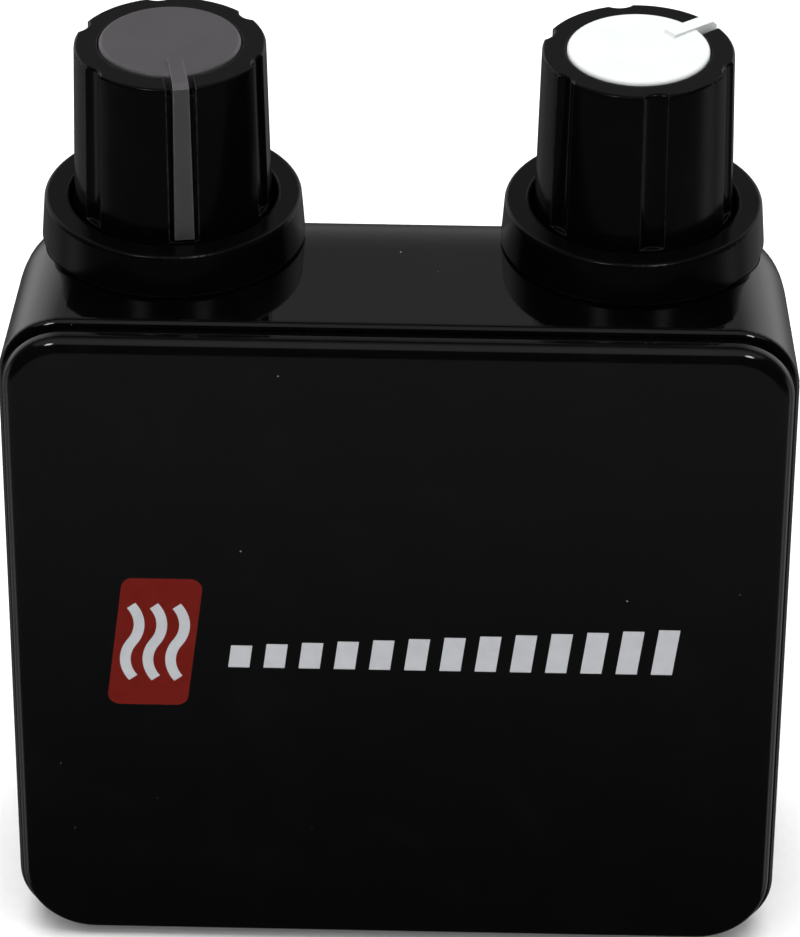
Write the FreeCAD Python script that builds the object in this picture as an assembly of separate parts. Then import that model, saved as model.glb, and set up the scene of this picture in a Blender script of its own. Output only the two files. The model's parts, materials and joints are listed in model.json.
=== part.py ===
import FreeCAD, Part
import math
import os

# Two-knob control box, millimetres. +Z is up, the cover faces -Y, +X is to the right of someone
# facing the cover. The origin is the middle of the footprint, on the underside.

Vector = FreeCAD.Vector
RIGHT = Vector(1, 0, 0)
BACK = Vector(0, 1, 0)
UP = Vector(0, 0, 1)

# ---- case -------------------------------------------------------------------------------------
CASE_WIDTH = 58.4            # across the housing's rim
CASE_HEIGHT = 55.1           # underside to top face
CASE_DEPTH = 25.4            # cover face to back wall
COVER_RISE = 1.95            # how far the cover stands in front of the rim
SEAM = 0.75                  # open seam between the rim and the cover, closed by the gasket
WALL = 2.0
SIDE_DRAFT = 3.0             # degrees, each side wall, narrowing towards the back
CORNER_RADIUS = 4.9          # corners seen from the front
COVER_LOW_CORNER = 5.5       # the cover's lower corners are rounder
SHOULDER_RADIUS = 12.5       # top face rolling over into the back wall
HEEL_RADIUS = 5.0            # back wall rolling under into the underside
RIM_ROUND = 0.6
COVER_INSET = 0.45           # cover outline inside the housing outline
COVER_ROUND = 1.15
SEAL_INSET = 0.85            # groove for the gasket, in the housing's rim
SEAL_WIDTH = 0.6
SEAL_DEPTH = 0.6
LIP_WIDTH = 1.0              # cover's locating lip inside the housing wall
LIP_REACH = 1.8
LIP_SLACK = 0.25

FRONT_Y = -CASE_DEPTH / 2
BACK_Y = CASE_DEPTH / 2
RIM_Y = FRONT_Y + COVER_RISE
INNER_BACK_Y = BACK_Y - WALL
ROOF_Z = CASE_HEIGHT - WALL  # underside of the top wall

# ---- knobs and collars --------------------------------------------------------------------------
KNOB_SPACING = 34.0
KNOB_Y = 2.15
POINTER_ANGLE = {"left": -80.0, "right": 40.0}   # degrees from +X at rest
COLLAR_RADIUS = 9.5
COLLAR_FOOT_RADIUS = 9.75
COLLAR_HEIGHT = 3.5          # above the top face
COLLAR_ROUND = 0.35
COLLAR_UNDERCUT = 0.25       # chamfer where the collar's lip meets the top face
COLLAR_SKIRT_WALL = 1.1
COLLAR_SKIRT_FRONT_Z = CASE_HEIGHT - 2.2   # lower end of the skirt in front of the knob
COLLAR_SKIRT_REAR_Z = CASE_HEIGHT - 9.8    # and behind it
WELL_RADIUS = 7.65
KNOB_BASE_Z = CASE_HEIGHT + 0.4
KNOB_TOP_Z = CASE_HEIGHT + 16.17
KNOB_FLANGE_RADIUS = 7.35
KNOB_FOOT_RADIUS = 7.3
KNOB_RIM_RADIUS = 7.0
FLANGE_HEIGHT = 3.0
GROOVE_COUNT = 6
GROOVE_RADIUS = 1.3
GROOVE_DEPTH = 0.42
CAP_RADIUS = 5.2
CAP_RECESS = 1.0
CAP_RISE = 0.25              # cap face above the knob's rim
POINTER_WIDTH_TOP = 1.15
POINTER_WIDTH_FOOT = 1.45
POINTER_SLOT = 2.1
POINTER_INNER = 2.8          # where the pointer ridge starts on the cap
POINTER_REACH = 7.5          # how far out its foot stands
SPIGOT_RADIUS = 1.5          # peg under the cap
SPIGOT_LENGTH = 1.2
SKIRT_BORE_RADIUS = 6.15     # room for the nut inside the knob's skirt
SKIRT_BORE_HEIGHT = 3.5
HUB_RADIUS = 4.5
HUB_SPACE_RADIUS = 5.7
KNOB_CEILING = 3.2           # knob's rim to the space round the hub
RIB_THICKNESS = 1.0
SHAFT_GRIP = 0.02            # radial clearance of the knob's bore on the shaft

# ---- potentiometer, 9 mm square body, 6 mm shaft, M7 bushing -------------------------------------
SHAFT_RADIUS = 3.0
BUSHING_BORE = 3.05
BUSHING_RADIUS = 3.5
BUSHING_LENGTH = 5.0
POT_HALF_WIDTH = 4.9
POT_PLATE = 1.2
POT_BODY_HEIGHT = 5.6
POT_AXIS_TO_BOARD = 6.5
POT_BEYOND_AXIS = 4.85
SHAFT_TOP_Z = CASE_HEIGHT + 13.0
NUT_ACROSS_FLATS = 10.0
NUT_HEIGHT = 2.0
THREAD_FIT = 0.02
WASHER_RADIUS = 5.5
WASHER_THICKNESS = 0.5
POT_FLOOR = 1.2
TRACK_RADIUS = 4.2
TRACK_BORE = 1.2
TRACK_THICKNESS = 0.6
ROTOR_RADIUS = 3.9
ROTOR_THICKNESS = 2.2
ROTOR_SLACK = 0.6
KNURL_TEETH = 18
KNURL_RADIUS = 0.22
SHAFT_SPLIT_WIDTH = 1.0
SHAFT_SPLIT_DEPTH = 6.0
TERMINAL_OFFSETS = [-2.5, 0.0, 2.5]
TERMINAL_RADIUS = 0.4
TERMINAL_LENGTH = 2.8        # through the board
TERMINAL_RISE = 0.8          # above the pot's underside
FIT = 0.05                   # radial clearance of pressed or turning fits

# ---- board, cells and screws ----------------------------------------------------------------------
BOARD_THICKNESS = 1.6
BOARD_BACK_Y = KNOB_Y - POT_AXIS_TO_BOARD
BOARD_FRONT_Y = BOARD_BACK_Y - BOARD_THICKNESS
BOARD_HALF_WIDTH = 25.4
BOARD_BOTTOM_Z = 2.8
BOARD_TOP_Z = 50.2
CELL_RADIUS = 5.25           # AAA cell
CELL_BODY = 43.3
CELL_NUB = 1.2
CELL_PITCH = 11.4
CELLS_MID_Z = 23.0
TRAY_HALF_LENGTH = 25.7
TRAY_FLOOR = 1.2
TRAY_SIDE = 1.0
TRAY_END = 1.2
CELL_SLACK = 0.15
CELL_AXIS_Y = BOARD_BACK_Y + TRAY_FLOOR + CELL_RADIUS + CELL_SLACK
TRAY_REACH = 2.6             # tray walls beyond the cells' axis
PLATE_THICKNESS = 0.4
PLATE_HALF_SIDE = 3.2
LEAF_REACH = 2.7             # feet of each leaf spring, from the cell's axis
LEAF_CROWN = 1.0             # half the width of its flat crown
LEAF_THICKNESS = 0.3
LEAF_HALF_WIDTH = 1.8
CASE_SCREW_PLACES = [(-21.0, 7.7), (21.0, 7.7), (-21.0, 39.0), (21.0, 39.0)]
BOARD_SCREW_PLACES = [(-13.5, 39.0), (13.5, 39.0), (0.0, 6.3)]
POST_RADIUS = 2.4
CASE_SCREW_RADIUS = 1.05
BOARD_SCREW_RADIUS = 0.85
PAD_HEIGHT = 2.0
PAD_RADIUS = 3.2
COUNTERBORE_RADIUS = 2.4
COUNTERBORE_DEPTH = 2.2
POST_END_Y = INNER_BACK_Y - PAD_HEIGHT - 0.1
CASE_SCREW_BITE = 9.0        # how deep each screw goes into its post
CASE_HEAD_RADIUS = 2.2
CASE_HEAD_HEIGHT = 1.6
BOARD_SCREW_BITE = 3.4
BOARD_HEAD_RADIUS = 1.7
BOARD_HEAD_HEIGHT = 1.2

# ---- parts on the board -----------------------------------------------------------------------------
CONTROLLER_Z = 26.0
CONTROLLER_SIDE = 7.0
CONTROLLER_THICKNESS = 1.0
LEAD_COUNT = 8
LEAD_PITCH = 0.8
LEAD_LENGTH = 1.0
LEAD_WIDTH = 0.35
LEAD_THICKNESS = 0.2
CRYSTAL_X = 9.0
CRYSTAL_SIZE = (3.2, 10.0, 2.6)
CRYSTAL_ROUND = 1.2
RESISTOR_ROWS_Z = (13.0, 16.0, 19.0)
RESISTOR_COLUMNS_X = (-14.0, -11.5, -9.0, -6.5)
RESISTOR_SIZE = (1.25, 2.0, 0.5)
CAPACITOR_X = 8.0
CAPACITOR_Z = 6.3
CAPACITOR_RADIUS = 2.5
CAPACITOR_HEIGHT = 7.0
RADIO_HALF_WIDTH = 8.2
RADIO_BOTTOM_Z = 36.0
RADIO_TOP_Z = 49.6
RADIO_THICKNESS = 0.8
SHIELD_HALF_WIDTH = 6.4
SHIELD_BOTTOM_Z = 36.8
SHIELD_TOP_Z = 45.6
SHIELD_HEIGHT = 2.0
SHIELD_WALL = 0.2
COIL_RADIUS = 2.0
COIL_PITCH = 1.3
COIL_LENGTH = 11.7
COIL_WIRE_RADIUS = 0.3
COIL_Z = 47.9

# ---- front graphics, inlaid flush ------------------------------------------------------------------
INLAY = 0.2
BADGE_WIDTH = 6.05
BADGE_BOTTOM_Z = 22.4
BADGE_TOP_Z = 33.95
BADGE_FOOT_X = -21.8         # lower left corner
BADGE_LEAN = 1.43            # how far the top is shifted to the right of the foot
BADGE_CORNER = 0.9
WAVE_PITCH = 1.7
WAVE_REACH = 3.3             # height of each of the two arcs in a wave
WAVE_STROKE = 0.8
BARS_START_X = -12.6
BARS_LENGTH = 34.3
BARS_BOTTOM_Z = 26.0
BARS_HEIGHT = 4.1
BAR_COUNT = 13
BAR_MIN_HEIGHT = 2.0
BAR_SHARE = 0.6              # bar width as a share of the pitch


# ---- small helpers ---------------------------------------------------------------------------------
def rod(radius, start, direction, length):
    return Part.makeCylinder(radius, length, Vector(*start), direction)


def tube(outer, inner, z0, z1, x=0.0, y=0.0):
    body = rod(outer, (x, y, z0), UP, z1 - z0)
    return body.cut(rod(inner, (x, y, z0 - 1), UP, z1 - z0 + 2))


def block(x0, x1, y0, y1, z0, z1):
    return Part.makeBox(x1 - x0, y1 - y0, z1 - z0, Vector(x0, y0, z0))


def prism(points, along):
    return Part.Face(Part.makePolygon(points + points[:1])).extrude(along)


def fuse(shapes):
    return shapes[0].multiFuse(shapes[1:]).removeSplitter()


def turned(profile):
    """Solid of revolution about Z from (radius, z) points that start and end on the axis or close."""
    points = [Vector(r, 0, z) for r, z in profile]
    return Part.Face(Part.makePolygon(points + points[:1])).revolve(Vector(0, 0, 0), UP, 360)


def edges_where(shape, test):
    return [edge for edge in shape.Edges if test(edge.BoundBox)]


def rounded_plate(half_width, z0, z1, top_corner, low_corner, y0, y1):
    """Rectangle with round corners seen from the front, from y0 back to y1."""
    plate = block(-half_width, half_width, y0, y1, z0, z1)
    for height, corner in ((z1, top_corner), (z0, low_corner)):
        corners = edges_where(plate, lambda box: box.XLength < 0.01 and box.ZLength < 0.01
                              and abs(box.ZMin - height) < 0.01)
        plate = plate.makeFillet(corner, corners)
    return plate


def frame_ring(inset, width, y0, y1):
    """Rounded rectangular ring that follows the case outline at a given inset."""
    def outline(extra, start, end):
        margin = inset + extra
        corner = max(CORNER_RADIUS - margin, 0.5)
        return rounded_plate(CASE_WIDTH / 2 - margin, margin, CASE_HEIGHT - margin, corner, corner,
                             start, end)
    return outline(0, y0, y1).cut(outline(width, y0 - 1, y1 + 1))


def at_knob(side, shape):
    """Move a piece drawn on the Z axis, pointer towards +X, to its knob position at rest."""
    placed = shape.copy()
    placed.rotate(Vector(0, 0, 0), UP, POINTER_ANGLE[side])
    placed.translate(knob_centre(side))
    return placed


def knob_centre(side):
    sign = -1 if side == "left" else 1
    return Vector(sign * KNOB_SPACING / 2, KNOB_Y, 0)


# ---- housing and cover -----------------------------------------------------------------------------
def case_block(inset, front_y):
    """Case form shrunk by inset: side profile with both roll-overs, drafted sides, round corners."""
    back, top = BACK_Y - inset, CASE_HEIGHT - inset
    shoulder, heel = SHOULDER_RADIUS - inset, HEEL_RADIUS - inset
    half = CASE_WIDTH / 2 - inset
    diagonal = math.sqrt(0.5)
    far = CASE_WIDTH

    def point(y, z):
        return Vector(-far / 2, y, z)

    heel_mid = point(back - heel + heel * diagonal, inset + heel - heel * diagonal)
    shoulder_mid = point(back - shoulder + shoulder * diagonal, top - shoulder + shoulder * diagonal)
    edges = [
        Part.makeLine(point(front_y, inset), point(back - heel, inset)),
        Part.Arc(point(back - heel, inset), heel_mid, point(back, inset + heel)).toShape(),
        Part.makeLine(point(back, inset + heel), point(back, top - shoulder)),
        Part.Arc(point(back, top - shoulder), shoulder_mid, point(back - shoulder, top)).toShape(),
        Part.makeLine(point(back - shoulder, top), point(front_y, top)),
        Part.makeLine(point(front_y, top), point(front_y, inset)),
    ]
    side_view = Part.Face(Part.Wire(edges)).extrude(Vector(far, 0, 0))

    slope = math.tan(math.radians(SIDE_DRAFT))
    half_front = half - (front_y - RIM_Y) * slope
    half_back = half - (back + 1 - RIM_Y) * slope
    plan = prism([Vector(-half_front, front_y, -1), Vector(half_front, front_y, -1),
                  Vector(half_back, back + 1, -1), Vector(-half_back, back + 1, -1)],
                 Vector(0, 0, CASE_HEIGHT + 2))
    body = side_view.common(plan)
    side_edges = edges_where(body, lambda box: box.XLength < 2.5 and box.YMax > front_y + 0.1)
    return body.makeFillet(CORNER_RADIUS - inset, side_edges)


def main_housing():
    outer = case_block(0, RIM_Y)
    rim = edges_where(outer, lambda box: box.YMax < RIM_Y + 0.01)
    shell = outer.makeFillet(RIM_ROUND, rim).cut(case_block(WALL, RIM_Y - 1))
    pads = [rod(PAD_RADIUS, (x, INNER_BACK_Y - PAD_HEIGHT, z), BACK, PAD_HEIGHT + WALL / 2)
            for x, z in CASE_SCREW_PLACES]
    shell = fuse([shell] + [pad.common(case_block(WALL / 2, RIM_Y)) for pad in pads])
    for x, z in CASE_SCREW_PLACES:
        shell = shell.cut(rod(COUNTERBORE_RADIUS, (x, BACK_Y - COUNTERBORE_DEPTH, z), BACK, 5))
        shell = shell.cut(rod(CASE_SCREW_RADIUS + 0.4, (x, INNER_BACK_Y - PAD_HEIGHT - 1, z), BACK, 9))
    for side in ("left", "right"):
        shell = shell.cut(collar_plug(side, COLLAR_RADIUS + FIT))
    return shell.cut(frame_ring(SEAL_INSET, SEAL_WIDTH, RIM_Y - 1, RIM_Y + SEAL_DEPTH))


def cover_gasket():
    return frame_ring(SEAL_INSET + FIT, SEAL_WIDTH - 2 * FIT, RIM_Y - SEAM, RIM_Y + SEAL_DEPTH)


def front_cover():
    half = CASE_WIDTH / 2 - COVER_INSET
    back_y = RIM_Y - SEAM
    plate = rounded_plate(half, COVER_INSET, CASE_HEIGHT - COVER_INSET, CORNER_RADIUS - COVER_INSET,
                          COVER_LOW_CORNER, FRONT_Y, back_y)
    face_edges = edges_where(plate, lambda box: box.YMax < FRONT_Y + 0.01)
    plate = plate.makeFillet(COVER_ROUND, face_edges)
    root_y = back_y - SEAM / 2
    lip = frame_ring(WALL + LIP_SLACK, LIP_WIDTH, root_y, RIM_Y + LIP_REACH)
    posts = [rod(POST_RADIUS, (x, root_y, z), BACK, POST_END_Y - root_y) for x, z in CASE_SCREW_PLACES]
    standoffs = [rod(POST_RADIUS, (x, root_y, z), BACK, BOARD_FRONT_Y - root_y)
                 for x, z in BOARD_SCREW_PLACES]
    cover = fuse([plate, lip] + posts + standoffs)
    for x, z in CASE_SCREW_PLACES:
        cover = cover.cut(rod(CASE_SCREW_RADIUS, (x, POST_END_Y - CASE_SCREW_BITE, z), BACK, CASE_DEPTH))
    for x, z in BOARD_SCREW_PLACES:
        low = BOARD_FRONT_Y - BOARD_SCREW_BITE
        cover = cover.cut(rod(BOARD_SCREW_RADIUS, (x, low, z), BACK, CASE_DEPTH))
    return cover.cut(badge_outline()).cut(Part.makeCompound(bar_blocks()))


# ---- collars ---------------------------------------------------------------------------------------
def collar_plug(side, radius):
    """Plug that fills the collar's seat in the roof: square at the top, slanting down to the back."""
    centre = knob_centre(side)
    front, rear = KNOB_Y - COLLAR_RADIUS - 1, KNOB_Y + COLLAR_RADIUS + 1
    low_z = COLLAR_SKIRT_REAR_Z
    round_part = rod(radius, (centre.x, centre.y, low_z), UP, CASE_HEIGHT + 1 - low_z)
    under = prism([Vector(-CASE_WIDTH, front, COLLAR_SKIRT_FRONT_Z), Vector(-CASE_WIDTH, rear, low_z),
                   Vector(-CASE_WIDTH, rear, 0), Vector(-CASE_WIDTH, front, 0)],
                  Vector(2 * CASE_WIDTH, 0, 0))
    return round_part.cut(under)


def knob_collar(side):
    centre = knob_centre(side)
    top = CASE_HEIGHT + COLLAR_HEIGHT
    lip = turned([(0, CASE_HEIGHT - 0.5), (COLLAR_RADIUS, CASE_HEIGHT - 0.5), (COLLAR_RADIUS, CASE_HEIGHT),
                  (COLLAR_FOOT_RADIUS, CASE_HEIGHT + COLLAR_UNDERCUT), (COLLAR_RADIUS, top), (0, top)])
    lip.translate(centre)
    below_roof = block(-CASE_WIDTH, CASE_WIDTH, -CASE_DEPTH, CASE_DEPTH, 0, CASE_HEIGHT)
    skirt = collar_plug(side, COLLAR_RADIUS).common(below_roof)
    collar = fuse([skirt, lip])
    collar = collar.cut(rod(WELL_RADIUS, (centre.x, centre.y, CASE_HEIGHT), UP, 2 * COLLAR_HEIGHT))
    collar = collar.cut(rod(COLLAR_RADIUS - COLLAR_SKIRT_WALL, (centre.x, centre.y, 0), UP, ROOF_Z))
    collar = collar.cut(rod(BUSHING_RADIUS + FIT, (centre.x, centre.y, 0), UP, 2 * CASE_HEIGHT))
    top_edges = edges_where(collar, lambda box: box.ZMin > top - 0.01)
    return collar.makeFillet(COLLAR_ROUND, top_edges)


# ---- knobs -----------------------------------------------------------------------------------------
def pointer_bar():
    """Ridge on the cap, over the rim and down the side; wider at its foot; drawn towards +X."""
    cap_z = KNOB_TOP_Z
    foot_z = KNOB_BASE_Z + FLANGE_HEIGHT + 0.3
    outline = [(POINTER_INNER, cap_z - 0.1), (POINTER_INNER + 0.25, cap_z + 0.22), (6.7, cap_z + 0.1),
               (7.05, cap_z - 0.25), (POINTER_REACH, foot_z), (6.7, foot_z), (6.3, cap_z - 1.1),
               (POINTER_INNER, cap_z - 0.6)]
    wide = POINTER_WIDTH_FOOT / 2
    narrow = POINTER_WIDTH_TOP / 2
    bar = prism([Vector(x, -wide, z) for x, z in outline], Vector(0, 2 * wide, 0))
    taper = prism([Vector(0, -wide, foot_z - 0.5), Vector(0, wide, foot_z - 0.5),
                   Vector(0, narrow, cap_z + 0.5), Vector(0, -narrow, cap_z + 0.5)],
                  Vector(COLLAR_RADIUS, 0, 0))
    return bar.common(taper)


def knob_cap():
    face_z = KNOB_TOP_Z
    under_z = face_z - CAP_RISE - CAP_RECESS
    disc = rod(CAP_RADIUS, (0, 0, under_z), UP, face_z - under_z)
    disc = disc.makeFillet(0.3, edges_where(disc, lambda box: box.ZMin > face_z - 0.01))
    spigot = rod(SPIGOT_RADIUS, (0, 0, under_z - SPIGOT_LENGTH), UP, SPIGOT_LENGTH + 0.2)
    return fuse([disc, spigot, pointer_bar()])


def knob_body():
    rim_z = KNOB_TOP_Z - CAP_RISE
    flange_z = KNOB_BASE_Z + FLANGE_HEIGHT
    body = turned([(0, KNOB_BASE_Z), (KNOB_FLANGE_RADIUS - 0.2, KNOB_BASE_Z),
                   (KNOB_FLANGE_RADIUS, KNOB_BASE_Z + 0.2), (KNOB_FLANGE_RADIUS, flange_z - 0.15),
                   (KNOB_FOOT_RADIUS, flange_z), (KNOB_RIM_RADIUS, rim_z), (0, rim_z)])
    for step in range(GROOVE_COUNT):
        body = body.cut(side_groove(step * 360.0 / GROOVE_COUNT))
    rim_edges = edges_where(body, lambda box: box.ZMin > rim_z - 0.01)
    body = body.makeFillet(0.22, rim_edges)
    half = POINTER_SLOT / 2
    recess_z = rim_z - CAP_RECESS
    slot = block(CAP_RADIUS - 0.3, COLLAR_RADIUS, -half, half, recess_z, rim_z + 1)
    channel = block(6.2, COLLAR_RADIUS, -half, half, flange_z, rim_z + 1)
    body = body.cut(fuse([slot, channel]))
    body = body.cut(rod(CAP_RADIUS + 2 * FIT, (0, 0, recess_z), UP, 2 * CAP_RECESS))
    body = body.cut(rod(SPIGOT_RADIUS + FIT, (0, 0, recess_z - SPIGOT_LENGTH - 0.8), UP, 2 * CAP_RECESS))
    return body.cut(knob_hollow())


def side_groove(angle):
    """Shallow vertical scallop that follows the knob's taper, from the flange to the rim."""
    low = Vector(KNOB_FOOT_RADIUS + GROOVE_RADIUS - GROOVE_DEPTH, 0, KNOB_BASE_Z + FLANGE_HEIGHT)
    high = Vector(KNOB_RIM_RADIUS + GROOVE_RADIUS - GROOVE_DEPTH, 0, KNOB_TOP_Z + 1)
    run = high - low
    cutter = Part.makeCylinder(GROOVE_RADIUS, run.Length, low, run)
    cutter.rotate(Vector(0, 0, 0), UP, angle)
    return cutter


def knob_hollow():
    """Room for the nut in the skirt, the ribbed space round the hub, and the shaft's bore."""
    skirt_z = KNOB_BASE_Z + SKIRT_BORE_HEIGHT
    ceiling_z = KNOB_TOP_Z - KNOB_CEILING
    skirt = rod(SKIRT_BORE_RADIUS, (0, 0, 0), UP, skirt_z)
    space = tube(HUB_SPACE_RADIUS, HUB_RADIUS, skirt_z - 1, ceiling_z)
    for step in range(GROOVE_COUNT):
        rib = block(0, KNOB_RIM_RADIUS, -RIB_THICKNESS / 2, RIB_THICKNESS / 2, skirt_z, ceiling_z)
        rib.rotate(Vector(0, 0, 0), UP, (step + 0.5) * 360.0 / GROOVE_COUNT)
        space = space.cut(rib)
    bore = rod(SHAFT_RADIUS + SHAFT_GRIP, (0, 0, 0), UP, SHAFT_TOP_Z + 0.2)
    return fuse([skirt, space, bore])


# ---- potentiometers --------------------------------------------------------------------------------
def pot_housing(side):
    centre = knob_centre(side)
    top_z = ROOF_Z - POT_PLATE
    low_z = top_z - POT_BODY_HEIGHT
    body = block(centre.x - POT_HALF_WIDTH, centre.x + POT_HALF_WIDTH, BOARD_BACK_Y,
                 KNOB_Y + POT_BEYOND_AXIS, low_z, top_z)
    body = body.makeFillet(0.4, edges_where(body, lambda box: box.XLength + box.YLength < 0.01
                                            and box.YMin > 0))
    cup = rod(TRACK_RADIUS + 2 * FIT, (centre.x, centre.y, pot_floor_z()), UP, POT_BODY_HEIGHT)
    return body.cut(cup)


def pot_floor_z():
    return ROOF_Z - POT_PLATE - POT_BODY_HEIGHT + POT_FLOOR


def rotor_top_z():
    return ROOF_Z - POT_PLATE - ROTOR_SLACK


def terminal_z():
    return ROOF_Z - POT_PLATE - POT_BODY_HEIGHT + TERMINAL_RISE


def pot_track(side):
    centre = knob_centre(side)
    floor = pot_floor_z()
    return tube(TRACK_RADIUS, TRACK_BORE, floor, floor + TRACK_THICKNESS, centre.x, centre.y)


def pot_bushing(side):
    centre = knob_centre(side)
    plate = block(centre.x - POT_HALF_WIDTH, centre.x + POT_HALF_WIDTH, KNOB_Y - POT_HALF_WIDTH,
                  KNOB_Y + POT_HALF_WIDTH, ROOF_Z - POT_PLATE, ROOF_Z)
    barrel = rod(BUSHING_RADIUS, (centre.x, centre.y, ROOF_Z - 0.5), UP, BUSHING_LENGTH + 0.5)
    barrel = barrel.makeChamfer(0.3, edges_where(barrel, lambda box: box.ZMin > ROOF_Z + 1))
    return fuse([plate, barrel]).cut(rod(BUSHING_BORE, (centre.x, centre.y, 0), UP, 2 * CASE_HEIGHT))


def pot_washer(side):
    centre = knob_centre(side)
    top_z = CASE_HEIGHT + WASHER_THICKNESS
    return tube(WASHER_RADIUS, BUSHING_RADIUS + FIT, CASE_HEIGHT, top_z, centre.x, centre.y)


def pot_nut(side):
    centre = knob_centre(side)
    low = CASE_HEIGHT + WASHER_THICKNESS
    corner = NUT_ACROSS_FLATS / 2 / math.cos(math.pi / 6)
    points = [Vector(centre.x + corner * math.cos(step * math.pi / 3),
                     centre.y + corner * math.sin(step * math.pi / 3), low) for step in range(6)]
    nut = prism(points, Vector(0, 0, NUT_HEIGHT))
    return nut.cut(rod(BUSHING_RADIUS + THREAD_FIT, (centre.x, centre.y, 0), UP, 2 * CASE_HEIGHT))


def pot_terminals(side):
    centre = knob_centre(side)
    return Part.makeCompound([
        rod(TERMINAL_RADIUS, (centre.x + offset, BOARD_BACK_Y, terminal_z()), -BACK, TERMINAL_LENGTH)
        for offset in TERMINAL_OFFSETS])


def pot_shaft():
    low = rotor_top_z()
    shaft = rod(SHAFT_RADIUS, (0, 0, low), UP, SHAFT_TOP_Z - low)
    shaft = shaft.makeChamfer(0.4, edges_where(shaft, lambda box: box.ZMin > SHAFT_TOP_Z - 0.01))
    knurl_z = ROOF_Z + BUSHING_LENGTH + 0.8
    teeth = []
    for step in range(KNURL_TEETH):
        angle = step * 2 * math.pi / KNURL_TEETH
        place = (SHAFT_RADIUS * math.cos(angle), SHAFT_RADIUS * math.sin(angle), knurl_z)
        teeth.append(rod(KNURL_RADIUS, place, UP, SHAFT_TOP_Z))
    half = SHAFT_SPLIT_WIDTH / 2
    split = block(-4, 4, -half, half, SHAFT_TOP_Z - SHAFT_SPLIT_DEPTH, SHAFT_TOP_Z + 1)
    return shaft.cut(Part.makeCompound(teeth)).cut(split)


def pot_rotor():
    return rod(ROTOR_RADIUS, (0, 0, rotor_top_z() - ROTOR_THICKNESS), UP, ROTOR_THICKNESS)


def pot_wiper():
    """Spring strip under the rotor that bears on the track."""
    low = pot_floor_z() + TRACK_THICKNESS + 2 * FIT
    top = rotor_top_z() - ROTOR_THICKNESS
    mount = block(-3.4, 2.6, -0.9, 0.9, top - 0.3, top)
    finger = block(2.2, 3.2, -0.5, 0.5, low, top - 0.2)
    return fuse([mount, finger])


# ---- board and parts on it -------------------------------------------------------------------------
def circuit_board():
    holes = [(POST_RADIUS + 0.4, x, z) for x, z in CASE_SCREW_PLACES]
    holes += [(BOARD_SCREW_RADIUS + 0.25, x, z) for x, z in BOARD_SCREW_PLACES]
    holes += [(TERMINAL_RADIUS + 0.15, knob_centre(side).x + offset, terminal_z())
              for side in ("left", "right") for offset in TERMINAL_OFFSETS]
    board = block(-BOARD_HALF_WIDTH, BOARD_HALF_WIDTH, BOARD_FRONT_Y, BOARD_BACK_Y,
                  BOARD_BOTTOM_Z, BOARD_TOP_Z)
    for radius, x, z in holes:
        board = board.cut(rod(radius, (x, BOARD_FRONT_Y - 1, z), BACK, CASE_DEPTH))
    return board


def chip(x, z, wide, tall, thick):
    """Component body on the board's front side, centred at x, z."""
    return block(x - wide / 2, x + wide / 2, BOARD_FRONT_Y - thick, BOARD_FRONT_Y,
                 z - tall / 2, z + tall / 2)


def microcontroller():
    body = chip(0, CONTROLLER_Z, CONTROLLER_SIDE, CONTROLLER_SIDE, CONTROLLER_THICKNESS)
    out = (CONTROLLER_SIDE + LEAD_LENGTH) / 2
    leads = []
    for step in range(LEAD_COUNT):
        along = (step - (LEAD_COUNT - 1) / 2) * LEAD_PITCH
        for sign in (-1, 1):
            leads.append(chip(sign * out, CONTROLLER_Z + along, LEAD_LENGTH, LEAD_WIDTH, LEAD_THICKNESS))
            leads.append(chip(along, CONTROLLER_Z + sign * out, LEAD_WIDTH, LEAD_LENGTH, LEAD_THICKNESS))
    return fuse([body] + leads)


def timing_crystal():
    can = chip(CRYSTAL_X, CONTROLLER_Z, *CRYSTAL_SIZE)
    return can.makeFillet(CRYSTAL_ROUND, edges_where(can, lambda box: box.XLength + box.YLength < 0.01
                                                     and box.YMax < BOARD_FRONT_Y - 1))


def chip_resistors():
    places = [(x, z) for x in RESISTOR_COLUMNS_X for z in RESISTOR_ROWS_Z]
    return Part.makeCompound([chip(x, z, *RESISTOR_SIZE) for x, z in places])


def filter_capacitors():
    return Part.makeCompound([rod(CAPACITOR_RADIUS, (x, BOARD_BACK_Y, CAPACITOR_Z), BACK, CAPACITOR_HEIGHT)
                              for x in (-CAPACITOR_X, CAPACITOR_X)])


def radio_board():
    return block(-RADIO_HALF_WIDTH, RADIO_HALF_WIDTH, BOARD_BACK_Y, BOARD_BACK_Y + RADIO_THICKNESS,
                 RADIO_BOTTOM_Z, RADIO_TOP_Z)


def radio_shield():
    """Pressed metal can, open towards the radio board."""
    low = BOARD_BACK_Y + RADIO_THICKNESS
    inside = SHIELD_HALF_WIDTH - SHIELD_WALL
    can = block(-SHIELD_HALF_WIDTH, SHIELD_HALF_WIDTH, low, low + SHIELD_HEIGHT,
                SHIELD_BOTTOM_Z, SHIELD_TOP_Z)
    can = can.makeFillet(2 * SHIELD_WALL, edges_where(can, lambda box: box.YMin > low + SHIELD_WALL))
    return can.cut(block(-inside, inside, low - 1, low + SHIELD_HEIGHT - SHIELD_WALL,
                         SHIELD_BOTTOM_Z + SHIELD_WALL, SHIELD_TOP_Z - SHIELD_WALL))


def antenna_coil():
    """Spring antenna lying along the top of the radio board."""
    path = Part.Wire(Part.makeHelix(COIL_PITCH, COIL_LENGTH, COIL_RADIUS).Edges)
    section = Part.Wire(Part.makeCircle(COIL_WIRE_RADIUS, Vector(COIL_RADIUS, 0, 0), BACK))
    coil = path.makePipeShell([section], True, True)
    coil.rotate(Vector(0, 0, 0), BACK, 90)
    axis_y = BOARD_BACK_Y + RADIO_THICKNESS + COIL_RADIUS + COIL_WIRE_RADIUS + FIT
    coil.translate(Vector(-COIL_LENGTH / 2, axis_y, COIL_Z))
    return coil


# ---- cells -----------------------------------------------------------------------------------------
def cell_height(which):
    return CELLS_MID_Z + (CELL_PITCH / 2 if which == "upper" else -CELL_PITCH / 2)


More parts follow.
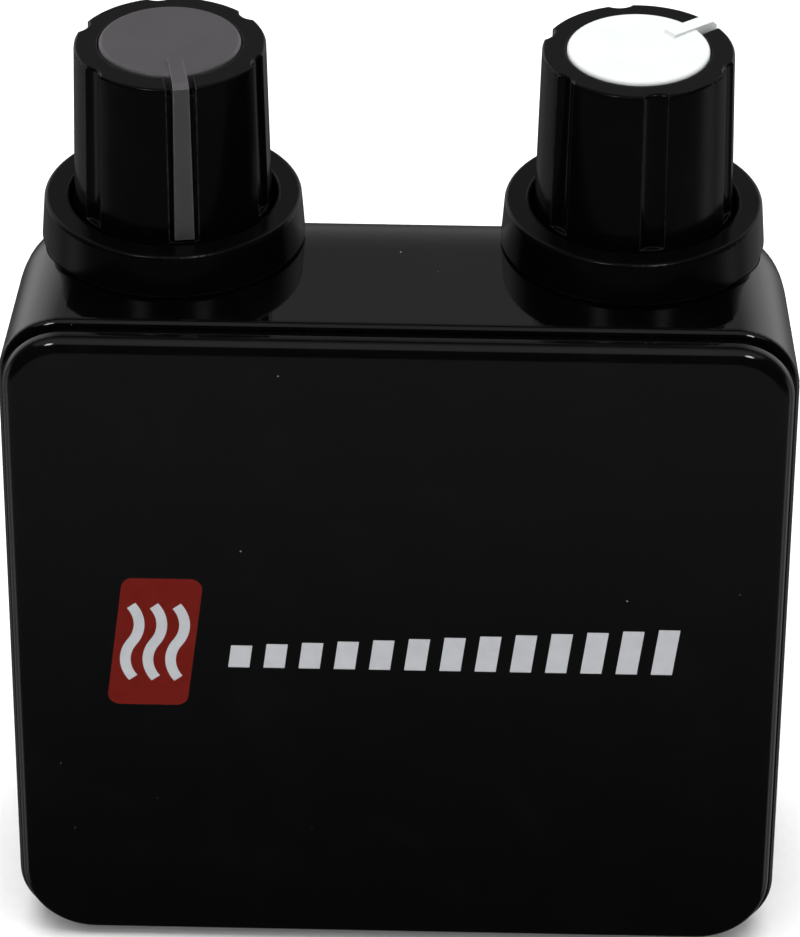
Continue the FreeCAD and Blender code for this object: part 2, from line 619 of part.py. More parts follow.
def battery_cell(which):
    sign = 1 if which == "upper" else -1
    z = cell_height(which)
    start = -sign * (CELL_BODY + CELL_NUB) / 2
    axis = RIGHT * sign
    can = rod(CELL_RADIUS, (start, CELL_AXIS_Y, z), axis, CELL_BODY)
    can = can.makeFillet(0.5, can.Edges[:1] + can.Edges[2:3])
    nub = rod(1.9, (start + sign * (CELL_BODY - 0.5), CELL_AXIS_Y, z), axis, CELL_NUB + 0.5)
    return fuse([can, nub])


def battery_tray():
    reach = CELL_RADIUS + CELL_SLACK
    low = cell_height("lower") - reach - TRAY_SIDE
    high = cell_height("upper") + reach + TRAY_SIDE
    tray = block(-TRAY_HALF_LENGTH, TRAY_HALF_LENGTH, BOARD_BACK_Y, CELL_AXIS_Y + TRAY_REACH, low, high)
    inner = TRAY_HALF_LENGTH - TRAY_END
    for which in ("lower", "upper"):
        z = cell_height(which)
        tray = tray.cut(rod(reach, (-inner, CELL_AXIS_Y, z), RIGHT, 2 * inner))
        tray = tray.cut(block(-inner, inner, CELL_AXIS_Y, BACK_Y, z - reach, z + reach))
    return tray


def contact_plates():
    plates = []
    x = TRAY_HALF_LENGTH - TRAY_END
    for which in ("lower", "upper"):
        z = cell_height(which)
        for sign in (-1, 1):
            near, far = sorted((sign * x, sign * (x - PLATE_THICKNESS)))
            plates.append(block(near, far, CELL_AXIS_Y - PLATE_HALF_SIDE, CELL_AXIS_Y + PLATE_HALF_SIDE,
                                z - PLATE_HALF_SIDE, z + PLATE_HALF_SIDE))
    return Part.makeCompound(plates)


def contact_springs():
    """Bowed leaf springs that press on the flat end of each cell."""
    foot_x = TRAY_HALF_LENGTH - TRAY_END - PLATE_THICKNESS
    crown_x = (CELL_BODY + CELL_NUB) / 2 + FIT
    z = cell_height("lower")
    outer = [(foot_x, LEAF_REACH), (crown_x, LEAF_CROWN)]
    inner = [(crown_x + LEAF_THICKNESS, LEAF_CROWN - LEAF_THICKNESS / 2),
             (foot_x, LEAF_REACH - 2 * LEAF_THICKNESS)]
    half = outer + inner
    outline = half[:2] + [(x, -up) for x, up in reversed(half[:2])]
    outline += [(x, -up) for x, up in reversed(half[2:])] + half[2:]
    lower = prism([Vector(x, CELL_AXIS_Y - LEAF_HALF_WIDTH, z + up) for x, up in outline],
                  Vector(0, 2 * LEAF_HALF_WIDTH, 0))
    upper = lower.copy()
    upper.rotate(Vector(0, 0, CELLS_MID_Z), BACK, 180)
    return Part.makeCompound([lower, upper])


# ---- screws ----------------------------------------------------------------------------------------
def screw(x, z, head_y, head_radius, head_height, shank_radius, shank_length):
    """Pan-head cross-recess screw driven towards -Y, its head seated at head_y."""
    head = rod(head_radius, (x, head_y, z), BACK, head_height)
    head = head.makeFillet(head_height * 0.4, edges_where(head, lambda box: box.YMin > head_y + 0.1))
    shank = rod(shank_radius, (x, head_y + 0.1, z), -BACK, shank_length + 0.1)
    body = fuse([head, shank])
    arm, slot = head_radius * 0.6, head_radius * 0.13
    face = head_y + head_height
    cross = fuse([block(x - arm, x + arm, face - 0.8, face + 1, z - slot, z + slot),
                  block(x - slot, x + slot, face - 0.8, face + 1, z - arm, z + arm)])
    return body.cut(cross)


def case_screws():
    seat = BACK_Y - COUNTERBORE_DEPTH
    length = seat - POST_END_Y + CASE_SCREW_BITE - 0.5
    return Part.makeCompound([screw(x, z, seat, CASE_HEAD_RADIUS, CASE_HEAD_HEIGHT,
                                    CASE_SCREW_RADIUS, length) for x, z in CASE_SCREW_PLACES])


def board_screws():
    length = BOARD_THICKNESS + BOARD_SCREW_BITE - 0.4
    return Part.makeCompound([screw(x, z, BOARD_BACK_Y, BOARD_HEAD_RADIUS, BOARD_HEAD_HEIGHT,
                                    BOARD_SCREW_RADIUS, length) for x, z in BOARD_SCREW_PLACES])


# ---- front graphics --------------------------------------------------------------------------------
def badge_outline():
    """Leaning tile with round corners, as deep as its inlay."""
    right = BADGE_FOOT_X + BADGE_WIDTH
    tile = prism([Vector(BADGE_FOOT_X, FRONT_Y, BADGE_BOTTOM_Z), Vector(right, FRONT_Y, BADGE_BOTTOM_Z),
                  Vector(right + BADGE_LEAN, FRONT_Y, BADGE_TOP_Z),
                  Vector(BADGE_FOOT_X + BADGE_LEAN, FRONT_Y, BADGE_TOP_Z)], Vector(0, INLAY, 0))
    return tile.makeFillet(BADGE_CORNER, edges_where(tile, lambda box: box.YLength > INLAY / 2
                                                    and box.XLength < 0.01))


def badge_tile():
    return badge_outline().cut(badge_symbol())


def wave_stroke(middle_x, middle_z, reach, stroke):
    """One S-shaped ribbon: two equal arcs that meet with a common tangent in the middle."""
    sweep = math.radians(75)
    radius = reach / 2 / math.sin(sweep / 2)
    inner, outer = radius - stroke / 2, radius + stroke / 2
    centre_x = middle_x - radius * math.cos(sweep / 2)
    centre_z = middle_z + reach / 2
    half = sweep / 2

    def on_arc(distance, angle):
        return Vector(centre_x + distance * math.cos(angle), FRONT_Y, centre_z + distance * math.sin(angle))

    edges = [
        Part.Arc(on_arc(outer, -half), on_arc(outer, 0), on_arc(outer, half)).toShape(),
        Part.makeLine(on_arc(outer, half), on_arc(inner, half)),
        Part.Arc(on_arc(inner, half), on_arc(inner, 0), on_arc(inner, -half)).toShape(),
        Part.makeLine(on_arc(inner, -half), on_arc(outer, -half)),
    ]
    upper = Part.Face(Part.Wire(edges)).extrude(Vector(0, INLAY, 0))
    lower = upper.copy()
    lower.rotate(Vector(middle_x, FRONT_Y, middle_z), BACK, 180)
    return fuse([upper, lower])


def badge_symbol():
    """Three rising heat waves, leaning with the tile."""
    middle_x = BADGE_FOOT_X + (BADGE_WIDTH + BADGE_LEAN) / 2
    middle_z = (BADGE_BOTTOM_Z + BADGE_TOP_Z) / 2
    return Part.makeCompound([wave_stroke(middle_x + step * WAVE_PITCH, middle_z, WAVE_REACH, WAVE_STROKE)
                              for step in (-1, 0, 1)])


def bar_blocks():
    """Leaning bars of rising height, like a level scale."""
    pitch = BARS_LENGTH / BAR_COUNT
    width = pitch * BAR_SHARE
    lean = BADGE_LEAN / (BADGE_TOP_Z - BADGE_BOTTOM_Z)
    bars = []
    for step in range(BAR_COUNT):
        x = BARS_START_X + step * pitch
        height = BAR_MIN_HEIGHT + (BARS_HEIGHT - BAR_MIN_HEIGHT) * step / (BAR_COUNT - 1)
        top = BARS_BOTTOM_Z + height
        shift = lean * height
        bars.append(prism([Vector(x, FRONT_Y, BARS_BOTTOM_Z), Vector(x + width, FRONT_Y, BARS_BOTTOM_Z),
                           Vector(x + width + shift, FRONT_Y, top), Vector(x + shift, FRONT_Y, top)],
                          Vector(0, INLAY, 0)))
    return bars


# ---- every node ------------------------------------------------------------------------------------
def nodes():
    pieces = {
        "main_housing": main_housing(),
        "front_cover": front_cover(),
        "cover_gasket": cover_gasket(),
        "badge_tile": badge_tile(),
        "badge_symbol": badge_symbol(),
        "level_bars": Part.makeCompound(bar_blocks()),
        "circuit_board": circuit_board(),
        "microcontroller": microcontroller(),
        "timing_crystal": timing_crystal(),
        "chip_resistors": chip_resistors(),
        "filter_capacitors": filter_capacitors(),
        "radio_board": radio_board(),
        "radio_shield": radio_shield(),
        "antenna_coil": antenna_coil(),
        "battery_tray": battery_tray(),
        "battery_cell_lower": battery_cell("lower"),
        "battery_cell_upper": battery_cell("upper"),
        "contact_plates": contact_plates(),
        "contact_springs": contact_springs(),
        "case_screws": case_screws(),
        "board_screws": board_screws(),
    }
    fixed = {"knob_collar": knob_collar, "pot_housing": pot_housing, "pot_track": pot_track,
             "pot_bushing": pot_bushing, "pot_washer": pot_washer, "pot_nut": pot_nut,
             "pot_terminals": pot_terminals}
    turning = {"knob_body": knob_body(), "knob_cap": knob_cap(), "pot_shaft": pot_shaft(),
               "pot_rotor": pot_rotor(), "pot_wiper": pot_wiper()}
    for side in ("left", "right"):
        for name, make in fixed.items():
            pieces[f"{name}_{side}"] = make(side)
        for name, shape in turning.items():
            pieces[f"{name}_{side}"] = at_knob(side, shape)
    return pieces


def main():
    os.makedirs("parts", exist_ok=True)
    for name, shape in nodes().items():
        shape.exportStep(f"parts/{name}.step")
        print(f"{name}: {len(shape.Solids)} solid(s), {shape.Volume:.1f} mm3, valid {shape.isValid()}")


main()
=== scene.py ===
"""Two-knob control box: looks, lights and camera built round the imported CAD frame."""
import json
import math

import bpy
from mathutils import Matrix, Vector


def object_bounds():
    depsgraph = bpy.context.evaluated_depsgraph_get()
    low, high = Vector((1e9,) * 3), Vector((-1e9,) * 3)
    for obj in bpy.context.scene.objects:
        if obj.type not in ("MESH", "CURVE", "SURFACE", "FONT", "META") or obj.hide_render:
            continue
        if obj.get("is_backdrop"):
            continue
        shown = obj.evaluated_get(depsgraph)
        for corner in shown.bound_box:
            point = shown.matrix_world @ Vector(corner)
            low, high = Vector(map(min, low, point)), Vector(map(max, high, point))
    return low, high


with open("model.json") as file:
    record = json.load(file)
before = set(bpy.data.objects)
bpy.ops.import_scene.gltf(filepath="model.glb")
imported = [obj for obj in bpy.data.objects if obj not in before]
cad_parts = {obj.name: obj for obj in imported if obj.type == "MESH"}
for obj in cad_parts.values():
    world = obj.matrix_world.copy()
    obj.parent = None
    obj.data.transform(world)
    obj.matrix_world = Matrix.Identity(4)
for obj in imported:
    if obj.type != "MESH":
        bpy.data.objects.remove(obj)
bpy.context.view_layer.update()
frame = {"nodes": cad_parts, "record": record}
NODES = frame["nodes"]
RECORD = frame["record"]
MM = 1000.0                      # object coordinates are metres, patterns are written per millimetre


# ---- node helpers ----------------------------------------------------------------------------------
class Graph:
    """A material's or world's node tree with short calls for the nodes used here."""

    def __init__(self, tree):
        self.tree = tree
        tree.nodes.clear()

    def node(self, kind, inputs=None, **settings):
        made = self.tree.nodes.new(kind)
        for name, value in settings.items():
            setattr(made, name, value)
        for name, value in (inputs or {}).items():
            self.feed(made.inputs[name], value)
        return made

    def feed(self, socket, value):
        if isinstance(value, bpy.types.NodeSocket):
            self.tree.links.new(value, socket)
        else:
            socket.default_value = value

    def math(self, operation, a, b=0.0, clamp=False):
        made = self.node("ShaderNodeMath", operation=operation, use_clamp=clamp)
        self.feed(made.inputs[0], a)
        self.feed(made.inputs[1], b)
        return made.outputs[0]

    def remap(self, value, low, high, to_low=0.0, to_high=1.0, kind="LINEAR"):
        made = self.node("ShaderNodeMapRange", {"Value": value, "From Min": low, "From Max": high,
                                                "To Min": to_low, "To Max": to_high},
                         clamp=True, interpolation_type=kind)
        return made.outputs["Result"]

    def fade(self, value, low, high, to_low=0.0, to_high=1.0):
        return self.remap(value, low, high, to_low, to_high, "SMOOTHSTEP")

    def times(self, first, *others):
        for other in others:
            first = self.math("MULTIPLY", first, other)
        return first

    def total(self, first, *others):
        for other in others:
            first = self.math("ADD", first, other)
        return first

    def mix(self, share, a, b):
        made = self.node("ShaderNodeMix", data_type="RGBA", clamp_factor=True)
        self.feed(made.inputs[0], share)
        self.feed(made.inputs[6], a if isinstance(a, bpy.types.NodeSocket) else shade(a))
        self.feed(made.inputs[7], b if isinstance(b, bpy.types.NodeSocket) else shade(b))
        return made.outputs[2]

    def noise(self, vector, scale, detail=3.0, roughness=0.5, distortion=0.0):
        made = self.node("ShaderNodeTexNoise", {"Vector": vector, "Scale": scale, "Detail": detail,
                                                "Roughness": roughness, "Distortion": distortion})
        return made.outputs["Fac"]

    def stretch(self, vector, scale):
        return self.node("ShaderNodeMapping", {"Vector": vector, "Scale": scale}).outputs["Vector"]


def shade(value):
    """A grey number or a colour as the four values that a colour socket takes."""
    if isinstance(value, (int, float)):
        return (value, value, value, 1.0)
    return (*value, 1.0) if len(value) == 3 else tuple(value)


# ---- materials -------------------------------------------------------------------------------------
DUST_COLOR = (0.25, 0.25, 0.26)
VEIL = 0.004                     # how much the thin dust veil lightens the gloss
FLECK_GAIN = 1.6                 # how much lighter a fleck is than its ground
GRAIN_DEPTH = 0.00008            # metres
WEAR_RADIUS = 0.00025            # metres of edge that fingers rub
WEAR_SCALE = 1.4                 # this scale and those below are per millimetre
WEAR_ROUGHNESS = 0.10
BEVEL_SAMPLES = 6
VEIL_SCALE = 0.16
BRUSHED_SCALE = 9.0
BRUSHED_ROUGHNESS = (-0.05, 0.09)

# The stretches of a noise's values that are spread over a fade.
DRIFT = (0.3, 0.7)
FLECKS = (0.35, 0.75)
FINE_GRAIN = (0.25, 0.75)
VEIL_PATCHES = (0.52, 0.75)
WORN_PATCHES = (0.35, 0.62)
EDGE_TURN = (0.80, 0.995)        # cosine between the rounded normal and the true one
LEAST_WORN = 0.15

# Dust: motes per millimetre, radius as a share of a cell, share of the finish's dust.
COARSE_MOTES = (0.35, 0.030, 1.0)
FINE_MOTES = (1.1, 0.045, 0.5)
MOTE_CORE = 0.4                  # share of a mote's radius that is full
MOTE_ROUGHNESS = 0.4

# Hairlines: angle in radians, lines per millimetre, share of the finish's hairlines.
LONG_LINES = (0.7, 2.2, 1.0)
CROSS_LINES = (-1.1, 1.7, 0.7)
LINE_TILT = 0.6                  # turn about Y as a share of the turn about X and Z
LINE_STRETCH = (0.06, 0.06, 1.0)
LINE_WIDTH = 0.012
LINE_BREAKS = 0.35               # breaks per millimetre
LINE_FADE = 0.05
LINE_ROUGHNESS = 0.12
LINE_DEPTH = 0.4


def specks(graph, place, amount, kind):
    """Small round dust specks: a cell pattern where only a share of the cells carries one."""
    per_mm, size, part = kind
    cells = graph.node("ShaderNodeTexVoronoi", {"Vector": place, "Scale": per_mm, "Randomness": 1.0})
    near = graph.remap(cells.outputs["Distance"], size * MOTE_CORE, size, 1.0, 0.0)
    draw = graph.node("ShaderNodeSeparateColor", {"Color": cells.outputs["Color"]}).outputs[0]
    chosen = graph.math("GREATER_THAN", draw, 1.0 - amount * part)
    return graph.math("MULTIPLY", near, chosen)


def scratches(graph, place, amount, kind):
    """Hairlines: one fine band of a stretched noise, broken up by a coarser one."""
    angle, per_mm, part = kind
    turned = graph.node("ShaderNodeMapping", {
        "Vector": place, "Rotation": (angle, angle * LINE_TILT, angle),
        "Scale": LINE_STRETCH}).outputs["Vector"]
    band = graph.noise(turned, per_mm, detail=1.0, roughness=0.4, distortion=0.3)
    middle = graph.math("ABSOLUTE", graph.math("SUBTRACT", band, 0.5))
    line = graph.remap(middle, 0.0, LINE_WIDTH, 1.0, 0.0)
    least = 1.0 - amount * part
    stretches = graph.remap(graph.noise(place, LINE_BREAKS, detail=2.0), least, least + LINE_FADE)
    return graph.math("MULTIPLY", line, stretches)


def edge_wear(graph, place):
    """Edges rubbed by fingers: where the rounded normal leaves the true one, broken up by noise."""
    bevel = graph.node("ShaderNodeBevel", {"Radius": WEAR_RADIUS}, samples=BEVEL_SAMPLES)
    true_normal = graph.node("ShaderNodeNewGeometry").outputs["Normal"]
    along = graph.node("ShaderNodeVectorMath", operation="DOT_PRODUCT")
    graph.feed(along.inputs[0], bevel.outputs["Normal"])
    graph.feed(along.inputs[1], true_normal)
    edge = graph.fade(along.outputs["Value"], *EDGE_TURN, 1.0, 0.0)
    patches = graph.noise(place, WEAR_SCALE, detail=4.0, roughness=0.7)
    return graph.times(edge, graph.remap(patches, *WORN_PATCHES, LEAST_WORN, 1.0))


def finish_material(name, color, rough, spread=0.12, rough_spread=0.05, grain=0.0, grain_scale=6.0,
                    dust=0.0, hairlines=0.0, wear=0.0, metallic=0.0, specular=0.5, cloud=0.35,
                    brushed=None):
    """One procedural finish: tone drift, grain, roughness drift, dust, hairlines and rubbed edges."""
    material = bpy.data.materials.new(name)
    material.use_nodes = True
    graph = Graph(material.node_tree)
    local = graph.node("ShaderNodeTexCoord").outputs["Object"]
    place = graph.stretch(local, (MM, MM, MM))

    drift = graph.noise(place, cloud, detail=4.0, roughness=0.55)
    fine = graph.noise(place, grain_scale, detail=3.0, roughness=0.6)
    dark = tuple(c * (1.0 - spread) for c in color)
    light = tuple(c * (1.0 + spread) for c in color)
    fleck = tuple(min(1.0, c * FLECK_GAIN) for c in color)
    base = graph.mix(graph.remap(drift, *DRIFT), dark, light)
    base = graph.mix(graph.remap(fine, *FLECKS, 0.0, spread), base, fleck)
    roughness = graph.times(graph.remap(fine, *FINE_GRAIN, rough - rough_spread, rough + rough_spread),
                            graph.remap(drift, *DRIFT, 1.0 - spread, 1.0 + spread))
    height = fine
    if brushed:
        along = graph.noise(graph.stretch(place, brushed), BRUSHED_SCALE, detail=3.0, roughness=0.7)
        height = graph.math("ADD", fine, along)
        roughness = graph.math("ADD", roughness, graph.remap(along, *DRIFT, *BRUSHED_ROUGHNESS))
    if dust:
        motes = graph.math("MAXIMUM", specks(graph, place, dust, COARSE_MOTES),
                           specks(graph, place, dust, FINE_MOTES))
        clouds = graph.noise(place, VEIL_SCALE, detail=5.0, roughness=0.65)
        veil = graph.remap(clouds, *VEIL_PATCHES, 0.0, VEIL)
        base = graph.mix(graph.math("MAXIMUM", motes, veil), base, DUST_COLOR)
        roughness = graph.math("ADD", roughness, graph.math("MULTIPLY", motes, MOTE_ROUGHNESS), clamp=True)
    if hairlines:
        lines = graph.math("MAXIMUM", scratches(graph, place, hairlines, LONG_LINES),
                           scratches(graph, place, hairlines, CROSS_LINES))
        roughness = graph.math("ADD", roughness, graph.math("MULTIPLY", lines, LINE_ROUGHNESS), clamp=True)
        height = graph.math("SUBTRACT", height, graph.math("MULTIPLY", lines, LINE_DEPTH))
    if wear:
        rubbed = edge_wear(graph, place)
        base = graph.mix(graph.math("MULTIPLY", rubbed, wear), base, DUST_COLOR)
        roughness = graph.math("ADD", roughness, graph.math("MULTIPLY", rubbed, WEAR_ROUGHNESS), clamp=True)
    bump = graph.node("ShaderNodeBump", {"Height": height, "Strength": grain, "Distance": GRAIN_DEPTH})
    shader = graph.node("ShaderNodeBsdfPrincipled", {
        "Base Color": base, "Roughness": roughness, "Metallic": metallic,
        "Specular IOR Level": specular, "Normal": bump.outputs["Normal"]})
    graph.node("ShaderNodeOutputMaterial", {"Surface": shader.outputs["BSDF"]})
    return material


FINISHES = {
    "case_gloss": dict(color=(0.0006, 0.0006, 0.0007), rough=0.045, rough_spread=0.015, grain=0.010,
                       dust=0.05, hairlines=0.42, wear=0.015),
    "cover_gloss": dict(color=(0.0012, 0.0012, 0.0013), rough=0.05, rough_spread=0.015, grain=0.010,
                        dust=0.06, hairlines=0.42, wear=0.015),
    "collar_satin": dict(color=(0.0012, 0.0011, 0.0013), rough=0.20, rough_spread=0.04, grain=0.06,
                         grain_scale=5.0, dust=0.02, wear=0.07, specular=0.12),
    "knob_satin": dict(color=(0.0011, 0.0010, 0.0011), rough=0.17, rough_spread=0.04, grain=0.06,
                       grain_scale=6.0, dust=0.02, wear=0.10, specular=0.15),
    "cap_grey": dict(color=(0.041, 0.038, 0.041), rough=0.42, grain=0.16, spread=0.06, grain_scale=7.0,
                     wear=0.25, specular=0.8),
    "cap_white": dict(color=(0.60, 0.62, 0.61), rough=0.40, grain=0.16, spread=0.03, grain_scale=7.0),
    "badge_red": dict(color=(0.125, 0.0045, 0.0015), rough=0.22, grain=0.06, spread=0.10, cloud=0.8,
                      specular=0.3),
    "print_grey": dict(color=(0.42, 0.43, 0.45), rough=0.32, grain=0.08, spread=0.05, cloud=0.8),
    "seal_rubber": dict(color=(0.010, 0.010, 0.010), rough=0.75, grain=0.5),
    "board_green": dict(color=(0.012, 0.090, 0.040), rough=0.34, grain=0.2, spread=0.2),
    "chip_black": dict(color=(0.014, 0.014, 0.015), rough=0.6, grain=0.4),
    "can_metal": dict(color=(0.62, 0.62, 0.60), rough=0.28, metallic=1.0, grain=0.2,
                      brushed=(0.1, 1.0, 1.0)),
    "capacitor_sleeve": dict(color=(0.016, 0.024, 0.060), rough=0.2, grain=0.1),
    "tray_plastic": dict(color=(0.020, 0.020, 0.021), rough=0.5, grain=0.4),
    "cell_jacket": dict(color=(0.30, 0.31, 0.33), rough=0.24, grain=0.1, spread=0.08),
    "contact_steel": dict(color=(0.62, 0.60, 0.57), rough=0.26, metallic=1.0, grain=0.2,
                          brushed=(1.0, 0.1, 1.0)),
    "contact_brass": dict(color=(0.72, 0.50, 0.20), rough=0.26, metallic=1.0, grain=0.2),
    "screw_steel": dict(color=(0.16, 0.16, 0.17), rough=0.34, metallic=1.0, grain=0.3, spread=0.2,
                        brushed=(1.0, 1.0, 0.1)),
    "pot_plastic": dict(color=(0.030, 0.030, 0.036), rough=0.5, grain=0.3),
    "track_phenolic": dict(color=(0.10, 0.050, 0.024), rough=0.55, grain=0.4, spread=0.25),
    "bushing_zinc": dict(color=(0.58, 0.58, 0.56), rough=0.38, metallic=1.0, grain=0.4),
    "nut_brass": dict(color=(0.66, 0.62, 0.52), rough=0.28, metallic=1.0, grain=0.3,
                      brushed=(1.0, 1.0, 0.1)),
    "shaft_aluminium": dict(color=(0.72, 0.72, 0.73), rough=0.3, metallic=1.0, grain=0.3,
                            brushed=(1.0, 1.0, 0.1)),
}


def dress_nodes():
    """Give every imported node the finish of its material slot."""
    slots = {row["node"]: row["material_slot"] for row in RECORD["subparts"]}
    materials = {slot: finish_material(slot, **values) for slot, values in FINISHES.items()}
    for name, obj in NODES.items():
        material = materials[slots[name]]
        if not obj.material_slots:
            obj.data.materials.append(material)
        for place in obj.material_slots:
            place.material = material


# ---- stage, lights, camera -------------------------------------------------------------------------
FLOOR_HALF = 1.5
FLOOR_DROP = 0.00005             # just under the box
FLOOR_DARK = (0.93, 0.93, 0.93)
FLOOR_PALE = (0.96, 0.96, 0.96)
FLOOR_FIBRE = 900.0              # fibres per metre

OVER_PLACE, OVER_SIZE, OVER_POWER = (0.0, 0.05, 0.9), 0.9, 10.0
FRONT_PLACE, FRONT_SIZE, FRONT_POWER = (0.0, -0.9, 0.55), 0.8, 0.8
ROOM_GREY = 0.65                 # plain surroundings that light the matt surfaces

# What the gloss mirrors, as radiance by direction: x to the side, y away from the camera, z up.
# A pair is the stretch of one of them over which a part of the room fades in or out.
WALL_BEHIND = 0.26
WALL_DEPTH = (0.2, 0.6)
CORNERS = 0.75                   # added to the wall behind, towards its corners
CORNERS_SIDE = (0.10, 0.55)
CORNERS_DEPTH = (0.1, 0.6)
BELOW_LEFT, BELOW_RIGHT = 0.17, 0.28   # how much of the wall is left under the horizon
LEFT_TO_RIGHT = (-0.4, 0.4)
HORIZON = (-0.40, 0.05)
TABLE_SIDE = 0.50
TABLE_SIDE_EDGE = (0.60, 0.82)
TABLE_SIDE_TOP = (-0.3, 0.1)
TABLE_SIDE_NEAR = (-0.25, 0.05)
TABLE_SIDE_FAR = (0.05, 0.30)
TABLE_FRONT = 0.14
TABLE_FRONT_NEAR = (-0.63, -0.52)
TABLE_FRONT_FAR = (-0.45, -0.25)
UNDERFOOT = 0.02                 # the table straight under the camera
ABOVE_TABLE = 0.1                # share of the table's light that is left above its edge
FAR_TABLE = 0.3                  # share that is left behind the box
CEILING_FRONT = 0.42
CEILING_HEIGHT = (0.60, 0.76)
FRONT_HALF = (-0.3, 0.3)
LAMP_DIRECTION = (0.36, -0.62, 0.70)   # a small lamp high in front on each side
LAMP_SPREAD = (0.05, 0.13)
LAMP_RADIANCE = 14.0

CAMERA_PLACE = Vector((0.007221, -0.327144, 0.253119))
CAMERA_PITCH = math.radians(33.6014)
CAMERA_YAW = math.radians(-1.2784)
CAMERA_ROLL = math.radians(-0.310)
CAMERA_LENS = 198.75
SENSOR_WIDTH = 36.0


def pale_floor():
    """White paper under the box, which lights it but is not mirrored in it."""
    half = FLOOR_HALF
    mesh = bpy.data.meshes.new("floor")
    mesh.from_pydata([(-half, -half, 0), (half, -half, 0), (half, half, 0), (-half, half, 0)], [],
                     [(0, 1, 2, 3)])
    material = bpy.data.materials.new("floor_paper")
    material.use_nodes = True
    graph = Graph(material.node_tree)
    place = graph.node("ShaderNodeTexCoord").outputs["Object"]
    fibre = graph.noise(place, FLOOR_FIBRE, detail=3.0, roughness=0.6)
    base = graph.mix(graph.remap(fibre, *DRIFT), FLOOR_DARK, FLOOR_PALE)
    shader = graph.node("ShaderNodeBsdfPrincipled", {"Base Color": base, "Roughness": 0.8,
                                                     "Specular IOR Level": 0.1})
    graph.node("ShaderNodeOutputMaterial", {"Surface": shader.outputs["BSDF"]})
    mesh.materials.append(material)
    floor = bpy.data.objects.new("floor", mesh)
    floor.location.z = -FLOOR_DROP
    floor.visible_glossy = False
    bpy.context.scene.collection.objects.link(floor)
    floor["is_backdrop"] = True


def mirrored_room(graph):
    """Radiance that the gloss mirrors: pale wall behind, table at the sides and in front, two lamps."""
    direction = graph.node("ShaderNodeTexCoord").outputs["Generated"]
    x, y, z = graph.node("ShaderNodeSeparateXYZ", {"Vector": direction}).outputs
    side = graph.math("ABSOLUTE", x)

    wall = graph.fade(y, *WALL_DEPTH, 0.0, WALL_BEHIND)
    corners = graph.times(graph.fade(side, *CORNERS_SIDE, 0.0, CORNERS), graph.fade(y, *CORNERS_DEPTH))
    below = graph.fade(x, *LEFT_TO_RIGHT, BELOW_LEFT, BELOW_RIGHT)
    behind = graph.times(graph.total(wall, corners), graph.fade(z, *HORIZON, below, 1.0))

    table_side = graph.times(graph.fade(side, *TABLE_SIDE_EDGE, 0.0, TABLE_SIDE),
                             graph.fade(z, *TABLE_SIDE_TOP, 1.0, ABOVE_TABLE),
                             graph.fade(y, *TABLE_SIDE_NEAR),
                             graph.fade(y, *TABLE_SIDE_FAR, 1.0, FAR_TABLE))

    table_front = graph.times(graph.fade(z, *TABLE_FRONT_NEAR, UNDERFOOT, TABLE_FRONT),
                              graph.fade(z, *TABLE_FRONT_FAR, 1.0, ABOVE_TABLE))
    ceiling = graph.fade(z, *CEILING_HEIGHT, 0.0, CEILING_FRONT)
    front = graph.times(graph.total(table_front, ceiling), graph.fade(y, *FRONT_HALF, 1.0, 0.0))

    folded = graph.node("ShaderNodeCombineXYZ", {"X": side, "Y": y, "Z": z}).outputs[0]
    away = graph.node("ShaderNodeVectorMath", operation="DISTANCE")
    graph.feed(away.inputs[0], folded)
    graph.feed(away.inputs[1], LAMP_DIRECTION)
    lamps = graph.fade(away.outputs["Value"], *LAMP_SPREAD, LAMP_RADIANCE, 0.0)
    return graph.total(behind, table_side, front, lamps)


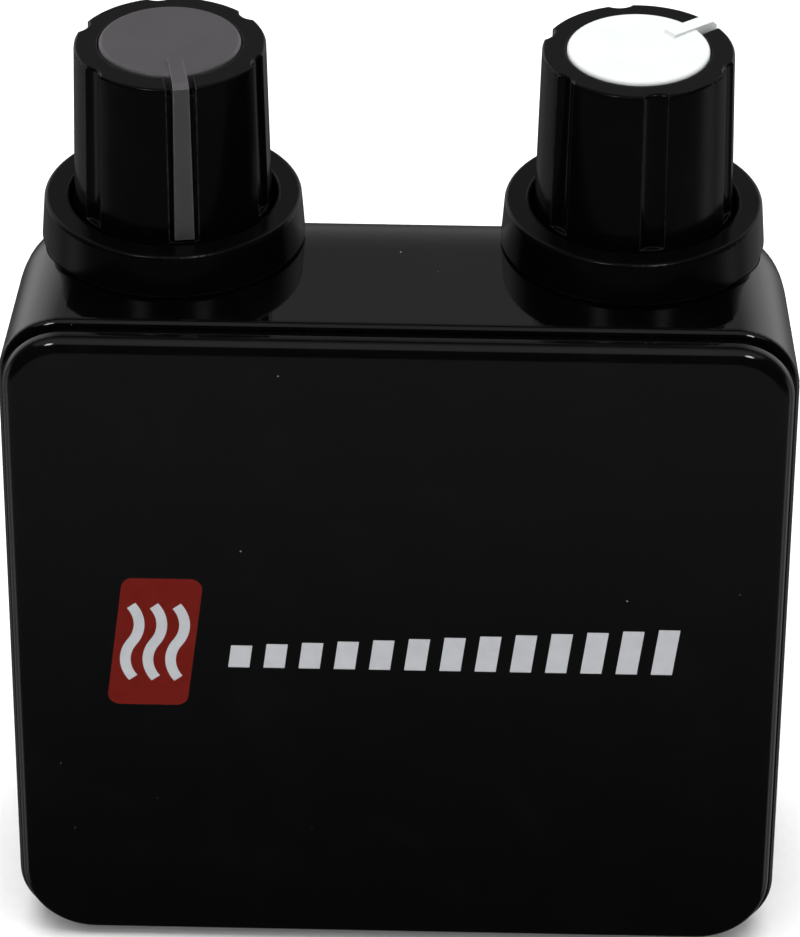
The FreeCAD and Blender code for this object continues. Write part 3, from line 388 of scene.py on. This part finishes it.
def studio_world():
    """Plain grey room for matt light; glossy rays see the mirrored room instead."""
    world = bpy.data.worlds.new("studio")
    bpy.context.scene.world = world
    world.use_nodes = True
    graph = Graph(world.node_tree)
    mirrored = graph.node("ShaderNodeBackground", {"Color": mirrored_room(graph), "Strength": 1.0})
    plain = graph.node("ShaderNodeBackground", {"Color": shade(1.0), "Strength": ROOM_GREY})
    glossy = graph.node("ShaderNodeLightPath").outputs["Is Glossy Ray"]
    shader = graph.node("ShaderNodeMixShader", {"Fac": glossy})
    graph.feed(shader.inputs[1], plain.outputs[0])
    graph.feed(shader.inputs[2], mirrored.outputs[0])
    graph.node("ShaderNodeOutputWorld", {"Surface": shader.outputs[0]})


def soft_light(name, place, size, power):
    """Square area light aimed at the box; it gives matt light only."""
    data = bpy.data.lights.new(name, "AREA")
    data.shape = "SQUARE"
    data.size = size
    data.energy = power
    light = bpy.data.objects.new(name, data)
    light.location = place
    low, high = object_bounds()
    towards = (low + high) / 2 - Vector(place)
    light.rotation_euler = towards.to_track_quat("-Z", "Y").to_euler()
    light.visible_glossy = False
    bpy.context.scene.collection.objects.link(light)


def aim_camera():
    """The photo's camera: place, aim and lens worked out from the object's outline."""
    forward = Vector((math.sin(CAMERA_YAW) * math.cos(CAMERA_PITCH),
                      math.cos(CAMERA_YAW) * math.cos(CAMERA_PITCH), -math.sin(CAMERA_PITCH)))
    level = forward.cross(Vector((0, 0, 1))).normalized()
    down = forward.cross(level)
    right = level * math.cos(CAMERA_ROLL) + down * math.sin(CAMERA_ROLL)
    up = right.cross(forward)
    data = bpy.data.cameras.new("camera")
    data.sensor_width = SENSOR_WIDTH
    data.lens = CAMERA_LENS
    data.clip_start, data.clip_end = 0.01, 20.0
    camera = bpy.data.objects.new("camera", data)
    camera.matrix_world = Matrix((
        (right.x, up.x, -forward.x, CAMERA_PLACE.x),
        (right.y, up.y, -forward.y, CAMERA_PLACE.y),
        (right.z, up.z, -forward.z, CAMERA_PLACE.z),
        (0, 0, 0, 1)))
    bpy.context.scene.collection.objects.link(camera)
    bpy.context.scene.camera = camera


dress_nodes()
pale_floor()
studio_world()
soft_light("light_over", OVER_PLACE, OVER_SIZE, OVER_POWER)
soft_light("light_front", FRONT_PLACE, FRONT_SIZE, FRONT_POWER)
aim_camera()
view = bpy.context.scene.view_settings
view.view_transform = "Standard"
view.look = "None"
